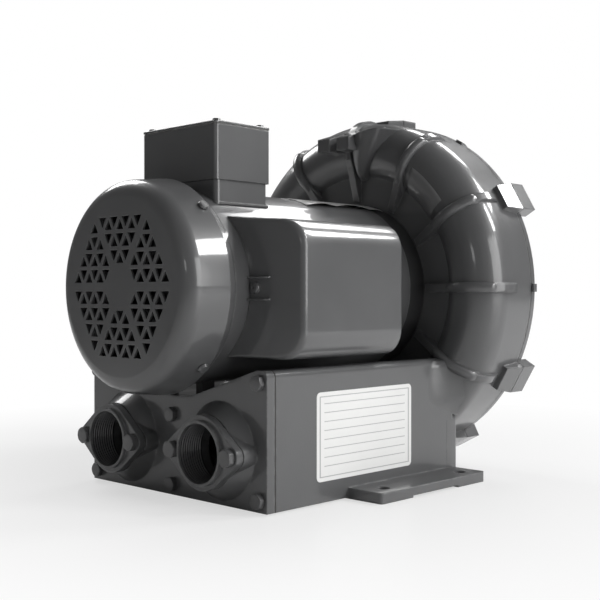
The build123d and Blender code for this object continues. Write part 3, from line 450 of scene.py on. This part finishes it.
def thread_grid(x):
    """Sleeve whose inner radius follows a rounded triangle wave of (distance / pitch + angle / turn)."""
    theta = np.linspace(0, 2 * np.pi, 120, endpoint=False)
    rings = []
    for y in np.linspace(thread_front, thread_rear, 96):
        phase = (y / thread_pitch + theta / (2 * np.pi)) % 1
        fade = np.clip(min(y - thread_front, thread_rear - y) / run_out, 0, 1)
        rings.append((y, thread_root - thread_depth * fade * np.clip(1.3 * (1 - np.abs(2 * phase - 1)) - 0.1, 0, 1)))
    rings += [(y, thread_back) for y in (thread_rear, thread_front)]
    return [np.stack([x + radius * np.cos(theta), np.full_like(theta, y), port_z + radius * np.sin(theta)], -1)
            for y, radius in rings]


closed_piece("port_threads", [thread_grid(x) for x in (-port_x, port_x)], thread_grey, 50, "looped")

# ---- Capacitor cover --------------------------------------------------------
# Drawn steel cover, 115 mm long and 104 mm high, screwed to the side of the
# motor. Its ends lean by 11 degrees, and its edges are rounded.
outer_x, top_z, low_z, corner, lean = 0.1245, 0.215, 0.111, 0.021, 0.198
cover_front, cover_rear, edge_r = -0.1365, -0.022, 0.0042
top_join, low_join = np.array([0.0572, 0.2185]), (0.0563, 0.1121)
shell_radius, shaft_height = 0.07765, 0.165


def cover_outline():
    """Section across the shaft: sloping top from the shell, rounded corner, side, rounded corner, underside."""
    reach = outer_x - corner
    top = np.linspace(top_join, (reach, top_z), 26)[:-1]
    turn = np.linspace(np.pi / 2, 0, 25)
    upper = np.stack([reach + corner * np.cos(turn), top_z - corner + corner * np.sin(turn)], -1)
    side = np.linspace((outer_x, top_z - corner), (outer_x, low_z + corner), 26)[1:-1]
    lower = np.stack([reach + corner * np.cos(turn[::-1]), low_z + corner - corner * np.sin(turn[::-1])], -1)
    under = np.linspace((reach, low_z), low_join, 26)[1:]
    return np.concatenate([top, upper, side, lower, under])


def end_y(x, front):
    """Leaning end: Y changes by the lean for each step inwards from the side, away from the cover's middle."""
    return cover_front - lean * (outer_x - x) if front else cover_rear + lean * (outer_x - x)


outline = cover_outline()
start = np.arctan2(outline[0, 1] - shaft_height, outline[0, 0])
stop = np.arctan2(outline[-1, 1] - shaft_height, outline[-1, 0])
length_along = np.concatenate([[0], np.cumsum(np.hypot(*np.diff(outline, axis=0).T))])
angle = start + (stop - start) * length_along / length_along[-1]
seat_line = np.stack([shell_radius * np.cos(angle), shaft_height + shell_radius * np.sin(angle)], -1)
gap = seat_line - outline
width = np.maximum(np.hypot(*gap.T), 1e-5)
inward = gap / width[:, None]
round_r = np.minimum(edge_r, 0.45 * width)


def end_columns(front):
    """Columns from the shell to the side: the leaning end face, then a quarter circle over the rounded edge."""
    sign = 1 if front else -1
    columns = []
    for share in np.linspace(1, 0, 15)[:-1]:
        spot = outline + inward * (round_r + share * (width - round_r))[:, None]
        columns.append(np.stack([spot[:, 0], end_y(spot[:, 0], front), spot[:, 1]], -1))
    for f in np.linspace(0, np.pi / 2, 9):
        spot = outline + inward * (round_r * (1 - np.sin(f)))[:, None]
        y = end_y(spot[:, 0], front) + sign * round_r * (1 - np.cos(f))
        columns.append(np.stack([spot[:, 0], y, spot[:, 1]], -1))
    return columns


front_part, rear_part = end_columns(True), end_columns(False)
side_part = [np.stack([outline[:, 0], (1 - t) * front_part[-1][:, 1] + t * rear_part[-1][:, 1], outline[:, 1]], -1)
             for t in np.linspace(0, 1, 14)[1:-1]]
cover_grid = np.stack(front_part + side_part + rear_part[::-1], axis=1)
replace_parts(closed_piece("capacitor_cover_skin", [cover_grid], sheet_grey, 35, "open"),
            "capacitor_cover")

# ---- Capacitor cover ribs ---------------------------------------------------
# Two short ribs pressed out of the cover's leaning front end, 3 mm proud, one
# above and one below its screw.
rib_x = np.linspace(0.0772, 0.0955, 14)
rib_tip = np.minimum(1, 6 * (0.0955 - rib_x) / 0.018 + 0.25)[:, None]
rib_y = (cover_front - lean * (outer_x - rib_x))[:, None]
rib_y = rib_y + [0.0008, 0, 0, 0, 0.0008] - np.array([0, 0.0028, 0.0032, 0.0028, 0]) * rib_tip
rib_rise = np.array([-0.0009, -0.0006, 0, 0.0006, 0.0009])
ribs = [np.stack(np.broadcast_arrays(rib_x[:, None], rib_y, z + rib_rise), -1) for z in (0.1555, 0.172)]
closed_piece("capacitor_cover_ribs", ribs, sheet_grey, smooth=50)

# ---- Capacitor cover screws -------------------------------------------------
# Painted pan-head screws with a round socket, 9 mm across, one in each end of
# the cover near the motor shell.
head_r, head_height, screw_z = 0.0046, 0.0026, 0.1642


def pan_head(x, y):
    """Rings from the shank to the socket, each a share of the head's radius at a share of its height."""
    theta = np.linspace(0, 2 * np.pi, 48, endpoint=False)
    rings = ((1.0, -0.3), (1.0, 0.25), (0.97, 0.55), (0.9, 0.75), (0.75, 0.9), (0.5, 0.98), (0.26, 1.0),
             (0.22, 0.55), (0.02, 0.5))
    return [np.stack([x + head_r * share * np.cos(theta), np.full_like(theta, y - head_height * rise),
                      screw_z + head_r * share * np.sin(theta)], -1) for share, rise in rings]


rear_screw_y = -0.0146
rear_head = np.asarray(pan_head(0.0885, rear_screw_y))
rear_head[..., 1] = 2 * rear_screw_y - rear_head[..., 1]
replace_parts(closed_piece("capacitor_cover_screws", [pan_head(0.0822, -0.1447), rear_head], bolt_grey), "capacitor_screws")

# ---- Fairing between the base and the ring ----------------------------------
# Part of the housing casting: the side wall of the base flows into the ring on
# both sides, and the base ends in a rear wall 76.6 mm behind the frame's zero.
wall_x, channel_r, tube_r, ring_y = 0.107, 0.128, 0.0275, 0.082
fairing_z = np.array([0.1035, 0.102, 0.098, 0.091, 0.083, 0.074, 0.069, 0.065, 0.062, 0.059, 0.056, 0.0535])
fairing_y = np.array([0.050, 0.040, 0.0345, 0.0335, 0.032, 0.032, 0.0335, 0.038, 0.0475, 0.058, 0.066, 0.0715])
fine = np.linspace(0, 1, 45)
steps = np.linspace(0, 1, len(fairing_z))


def fairing_grid(side):
    """At each height: a cubic curve from the flat wall to the ring, tangent to both, closed inside the casting."""
    grid = []
    for z, y0 in zip(np.interp(fine, steps, fairing_z), np.interp(fine, steps, fairing_y)):
        drop = shaft_height - z
        cross = np.sqrt(wall_x ** 2 + drop ** 2)
        meet = np.arcsin(np.clip((cross - channel_r) / tube_r, -1, 1))
        leave = min(meet + 0.62 * np.clip((z - 0.05) / 0.02, 0.15, 1), 1.5)
        rho = channel_r + tube_r * np.sin(leave)
        end = np.array([np.sqrt(rho ** 2 - drop ** 2), ring_y - tube_r * np.cos(leave)])
        slope = np.array([rho / end[0] * tube_r * np.cos(leave), tube_r * np.sin(leave)])
        slope = slope / np.hypot(*slope)
        first = np.array([wall_x - 0.0001, y0])
        pull = np.hypot(*(end - first)) * 0.9
        t = np.linspace(0, 1, 22)[:, None]
        curve = ((2 * t ** 3 - 3 * t ** 2 + 1) * first + (t ** 3 - 2 * t ** 2 + t) * pull * np.array([0, 1])
                 + (3 * t ** 2 - 2 * t ** 3) * (end + [-0.0001, 0.0001]) + (t ** 3 - t ** 2) * pull * slope)
        back = np.array([[end[0] - 0.004, end[1] + 0.004], [0.102, max(end[1], 0.062)], [0.102, y0 + 0.004]])
        loop = np.concatenate([curve, back])
        grid.append(np.stack([side * loop[:, 0], loop[:, 1], np.full(len(loop), z)], -1))
    return grid


def rear_wall_grid():
    """Slab across the base: its plan, with quarter circles on the outer corners, shrinks slightly at top and foot."""
    turn = np.linspace(0, np.pi / 2, 9)
    right = np.stack([0.103 + 0.00402 * np.cos(turn), 0.0726 + 0.004 * np.sin(turn)], -1)
    left = right[::-1] * [-1, 1]
    plan = np.concatenate([[[0.10702, 0.06]], right, left, [[-0.10702, 0.06]]])
    levels = [(0.0012, 0.9985), (0.0018, 1.0), (0.03, 1.0), (0.049, 1.0), (0.0515, 0.9995), (0.053, 0.996)]
    return [np.stack([plan[:, 0] * k, 0.06 + (plan[:, 1] - 0.06) * k, np.full(len(plan), z)], -1) for z, k in levels]


closed_piece("base_fairing", [fairing_grid(1), fairing_grid(-1), rear_wall_grid()], cast_grey, 35)

# ---- Cast pad on the ring ---------------------------------------------------
# Rough raised patch of the casting between two ribs, 1.1 mm proud, where the
# enamel is thin.
bare_cast = enamel_material("thin_enamel", (0.17, 0.17, 0.172), (0.4, 0.4, 0.4), 0.0015, 0.6, 420, 0.6, 0.45)
pad_low, pad_high, pad_inner, pad_outer = np.radians([35.5, 55.5, -62, 4])
pad_a = np.radians(np.linspace(35.5, 55.5, 41))[:, None]
pad_f = np.radians(np.linspace(-62, 4, 49))[None, :]
inset = np.minimum(np.minimum(pad_a - pad_low, pad_high - pad_a) / np.radians(1.6),
                   np.minimum(pad_f - pad_inner, pad_outer - pad_f) / np.radians(5))
bulge = tube_r + (0.0013 * np.clip(inset, 0, 1) ** 0.6 - 0.0002)
bulge = np.concatenate([bulge, np.full_like(bulge, tube_r - 0.001)], axis=1)
pad_f = np.concatenate([pad_f, np.radians(np.linspace(4, -62, 49))[None, :]], axis=1)
rho = channel_r + bulge * np.sin(pad_f)
pad = np.stack([rho * np.cos(pad_a), ring_y - bulge * np.cos(pad_f), shaft_height + rho * np.sin(pad_a)], -1)
closed_piece("ring_cast_pad", [pad], bare_cast, smooth=50)

# ---- Web under the lifting pad ----------------------------------------------
# Cast gusset from the lifting pad down the inside of the ring to the hub. It is
# 39 mm wide at the pad and 5 mm at its foot, and its nose is rounded.
web_foot, web_head = np.array([0.009, 0.2655]), np.array([0.0295, 0.3065])
web_half_foot, web_half_head, web_front_foot, web_front_head = 0.0025, 0.0195, 0.0655, 0.0365
web_back, web_tilt = 0.079, 0.15


def web_grid():
    """Sections from the hub to the pad: a half circle nose before a flat back, whose width and front change in step."""
    rows = []
    for t in np.linspace(0, 1, 40):
        x, z = web_foot + t * (web_head - web_foot)
        half = web_half_foot + (web_half_head - web_half_foot) * t ** 0.95
        front = web_front_foot + (web_front_head - web_front_foot) * t ** 0.55
        turn = np.linspace(0, np.pi, 17)
        nose = np.stack([half * np.cos(turn), front + 0.6 * half * (1 - np.sin(turn))], -1)
        loop = np.concatenate([[[half, web_back]], nose, [[-half, web_back]]])
        rows.append(np.stack([x + loop[:, 0], loop[:, 1], z + web_tilt * loop[:, 0]], -1))
    return rows


closed_piece("lifting_web", [web_grid()], cast_grey, smooth=40)

# ---- Ring ribs --------------------------------------------------------------
# Rounded cast ribs across the motor side of the ring, 9 mm wide and 5 mm high,
# running out towards the hub and into the rim.
rib_height, rib_half = 0.0051, 0.0046


def rib_grid(a):
    """Bead on the ring: height times cosine of the place across it, to the power 0.7, fading at both ends."""
    across_rib = np.linspace(-np.pi / 2, np.pi / 2, 15)
    rows = []
    for f in np.radians(np.linspace(-83, 62, 70)):
        fade = np.clip(min(f - np.radians(-86), np.radians(66) - f) / np.radians(14), 0.02, 1) ** 0.6
        height = np.concatenate([rib_height * fade * np.cos(across_rib) ** 0.7, [-0.0006, -0.0006]])
        offset = np.concatenate([rib_half * np.sin(across_rib), [rib_half, -rib_half]])
        rho = channel_r + (tube_r + height) * np.sin(f)
        rows.append(np.stack([rho * np.cos(a) - offset * np.sin(a), ring_y - (tube_r + height) * np.cos(f),
                              shaft_height + rho * np.sin(a) + offset * np.cos(a)], -1))
    return rows


closed_piece("ring_ribs", [rib_grid(np.radians(a)) for a in (-30, 0, 30, 60, 120, 150, 180, 210)], cast_grey,
             smooth=50)

# ---- Foil nameplate ---------------------------------------------------------
# Thin bare foil, 101 mm long, glued over the top of the motor. It is dented and
# creased, lifts up to 4 mm along its near edge, and carries no text.
foil, n, l, shader = make_material("creased_foil")
shader.inputs["Metallic"].default_value = 0.6
shader.inputs["Roughness"].default_value = 0.28
place = n.new("ShaderNodeTexCoord")
crease = n.new("ShaderNodeTexVoronoi")
crease.feature = "DISTANCE_TO_EDGE"
crease.inputs["Scale"].default_value = 85
l.new(place.outputs["Object"], crease.inputs["Vector"])
# Painted shade: the foil's colour darkens towards each crease line.
crease_shade = n.new("ShaderNodeValToRGB")
crease_shade.color_ramp.elements[0].color = (0.5, 0.5, 0.5, 1)
crease_shade.color_ramp.elements[1].color = (0.8, 0.8, 0.79, 1)
crease_shade.color_ramp.elements[1].position = 0.25
l.new(crease.outputs["Distance"], crease_shade.inputs["Fac"])
l.new(crease_shade.outputs["Color"], shader.inputs["Base Color"])
bump = n.new("ShaderNodeBump")
bump.inputs["Strength"].default_value, bump.inputs["Distance"].default_value = 0.6, 0.0008
l.new(crease.outputs["Distance"], bump.inputs["Height"])
l.new(bump.outputs["Normal"], shader.inputs["Normal"])

rng = np.random.default_rng(7)
waves = [(rng.uniform(0.6, 4.5), rng.uniform(2, 9), rng.uniform(0, 6.28), rng.uniform(0.3, 1)) for _ in range(14)]
foil_front, foil_rear, foil_thickness = -0.041, 0.060, 0.00012
y = np.linspace(foil_front, foil_rear, 90)[:, None]
a = np.radians(np.linspace(63, 96, 72))[None, :]
u, v = (y - foil_front) / 0.101, (a - a.min()) / (a.max() - a.min())
crumple = sum(k * np.abs(np.sin(fu * 6.28 * u + fv * 3.1 * v + ph)) for fu, fv, ph, k in waves) / len(waves)
lift = 0.0042 * np.clip(1 - v / 0.45, 0, 1) ** 2
lift = lift * (0.4 + 0.6 * np.abs(np.sin(7 * u + 0.6))) * np.sin(np.pi * u) ** 0.5
foil_r = 0.0776 + 0.0015 * crumple * (0.25 + np.abs(v - 0.5) * 1.5) + lift


def foil_side(radius):
    """Sheet round the shaft: radius times cosine and sine of the angle, at each place along it."""
    return np.stack(np.broadcast_arrays(radius * np.cos(a), y + 0 * a, shaft_height + radius * np.sin(a)), -1)


both_sides = np.concatenate([foil_side(foil_r), foil_side(foil_r - foil_thickness)[:, ::-1]], axis=1)
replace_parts(closed_piece("nameplate_foil", [both_sides], foil, smooth=60), "motor_nameplate")

# ---- View transform ---------------------------------------------------------
bpy.context.scene.view_settings.view_transform = "Standard"
